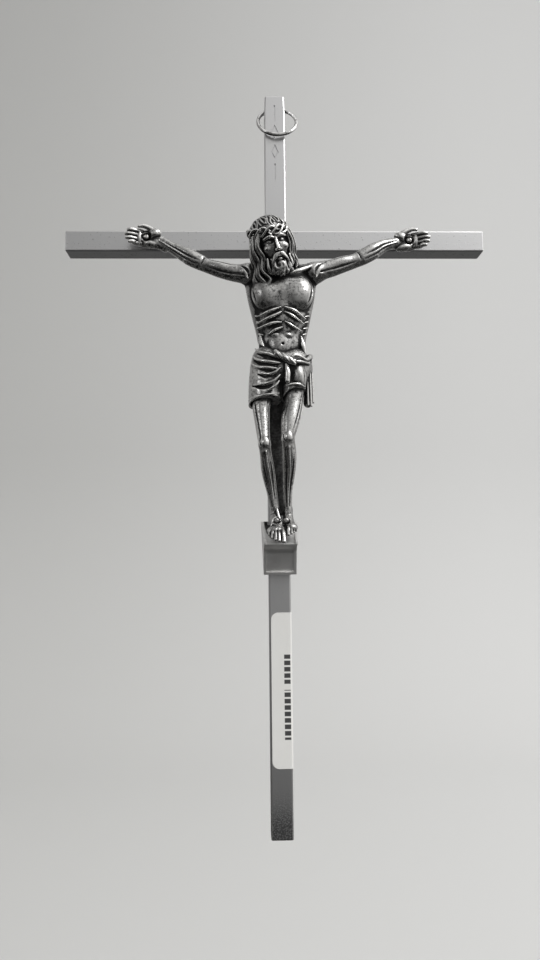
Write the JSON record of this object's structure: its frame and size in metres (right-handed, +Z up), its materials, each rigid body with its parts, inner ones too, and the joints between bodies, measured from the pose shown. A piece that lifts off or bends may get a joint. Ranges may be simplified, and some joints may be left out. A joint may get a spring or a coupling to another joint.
{
  "type": "wall crucifix",
  "caption": "Small metal wall crucifix: half-lapped square bars, a cast figure held by pins on a footrest, and a split ring through the top to hang it by.",
  "frame": {"origin": "middle of the crossing, on the crossbar's flat back, which lies against the wall", "axes": "+Z up along the upright, +X along the crossbar to the viewer's right, -Y out of the front"},
  "size_m": [0.1204, 0.0234, 0.21],
  "materials": {
    "bar_metal": "satin nickel-silver plate, with fine length-wise grain and bright bevelled edges",
    "antique_silver": "cast, oxidised dark in the recesses and polished bright on the high parts",
    "ring_wire": "bright plated wire",
    "label_paper": "matt white self-adhesive paper"
  },
  "bodies": {
    "cross": {"upright": "bar_metal", "crossbar": "bar_metal", "lap_rivet": "bar_metal", "footrest": "bar_metal", "footrest_rivet": "bar_metal", "corpus": "antique_silver", "hand_pin_left": "antique_silver", "hand_pin_right": "antique_silver", "foot_pin_left": "antique_silver", "foot_pin_right": "antique_silver", "label": "label_paper"},
    "ring": {"hanging_ring": "ring_wire"}
  },
  "joints": [
    {"name": "ring_swing", "type": "hinge", "parent": "cross", "child": "ring", "pos_m": [0, -0.003, 0.041], "axis": [-1, 0, 0], "range_deg": [0, 312]}
  ]
}
